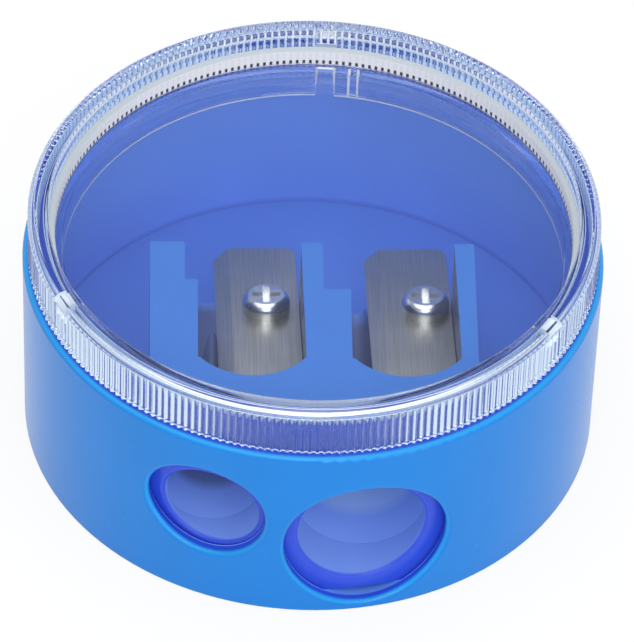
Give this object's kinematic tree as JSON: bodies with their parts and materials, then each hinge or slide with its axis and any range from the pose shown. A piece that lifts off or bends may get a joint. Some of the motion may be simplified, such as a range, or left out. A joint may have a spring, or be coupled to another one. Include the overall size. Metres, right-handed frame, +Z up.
{
  "type": "container pencil sharpener",
  "caption": "Round hand pencil sharpener: blue tub with a small and a large pencil hole, screwed steel blades on an insert, and a clear lift-off lid with a ribbed rim over the shavings space.",
  "frame": {"origin": "middle of the tub's foot, on the surface that it stands on", "axes": "+Z up along the tub's axis, the pencil holes face -Y, the small hole lies on the -X side"},
  "size_m": [0.056, 0.056, 0.0265],
  "materials": {
    "blue_plastic": "moulded, semi-gloss",
    "blade_steel": "ground along the length",
    "plated_steel": "bright plated",
    "clear_plastic": "clear, polished"
  },
  "bodies": {
    "tub": {"tub": "blue_plastic", "sharpener_block": "blue_plastic", "small_blade": "blade_steel", "large_blade": "blade_steel", "small_blade_screw": "plated_steel", "large_blade_screw": "plated_steel"},
    "lid": {"lid": "clear_plastic"}
  },
  "joints": [
    {"name": "lid_lift", "type": "slide", "parent": "tub", "child": "lid", "axis": [0, 0, 1], "range_m": [0, 0.03]}
  ]
}
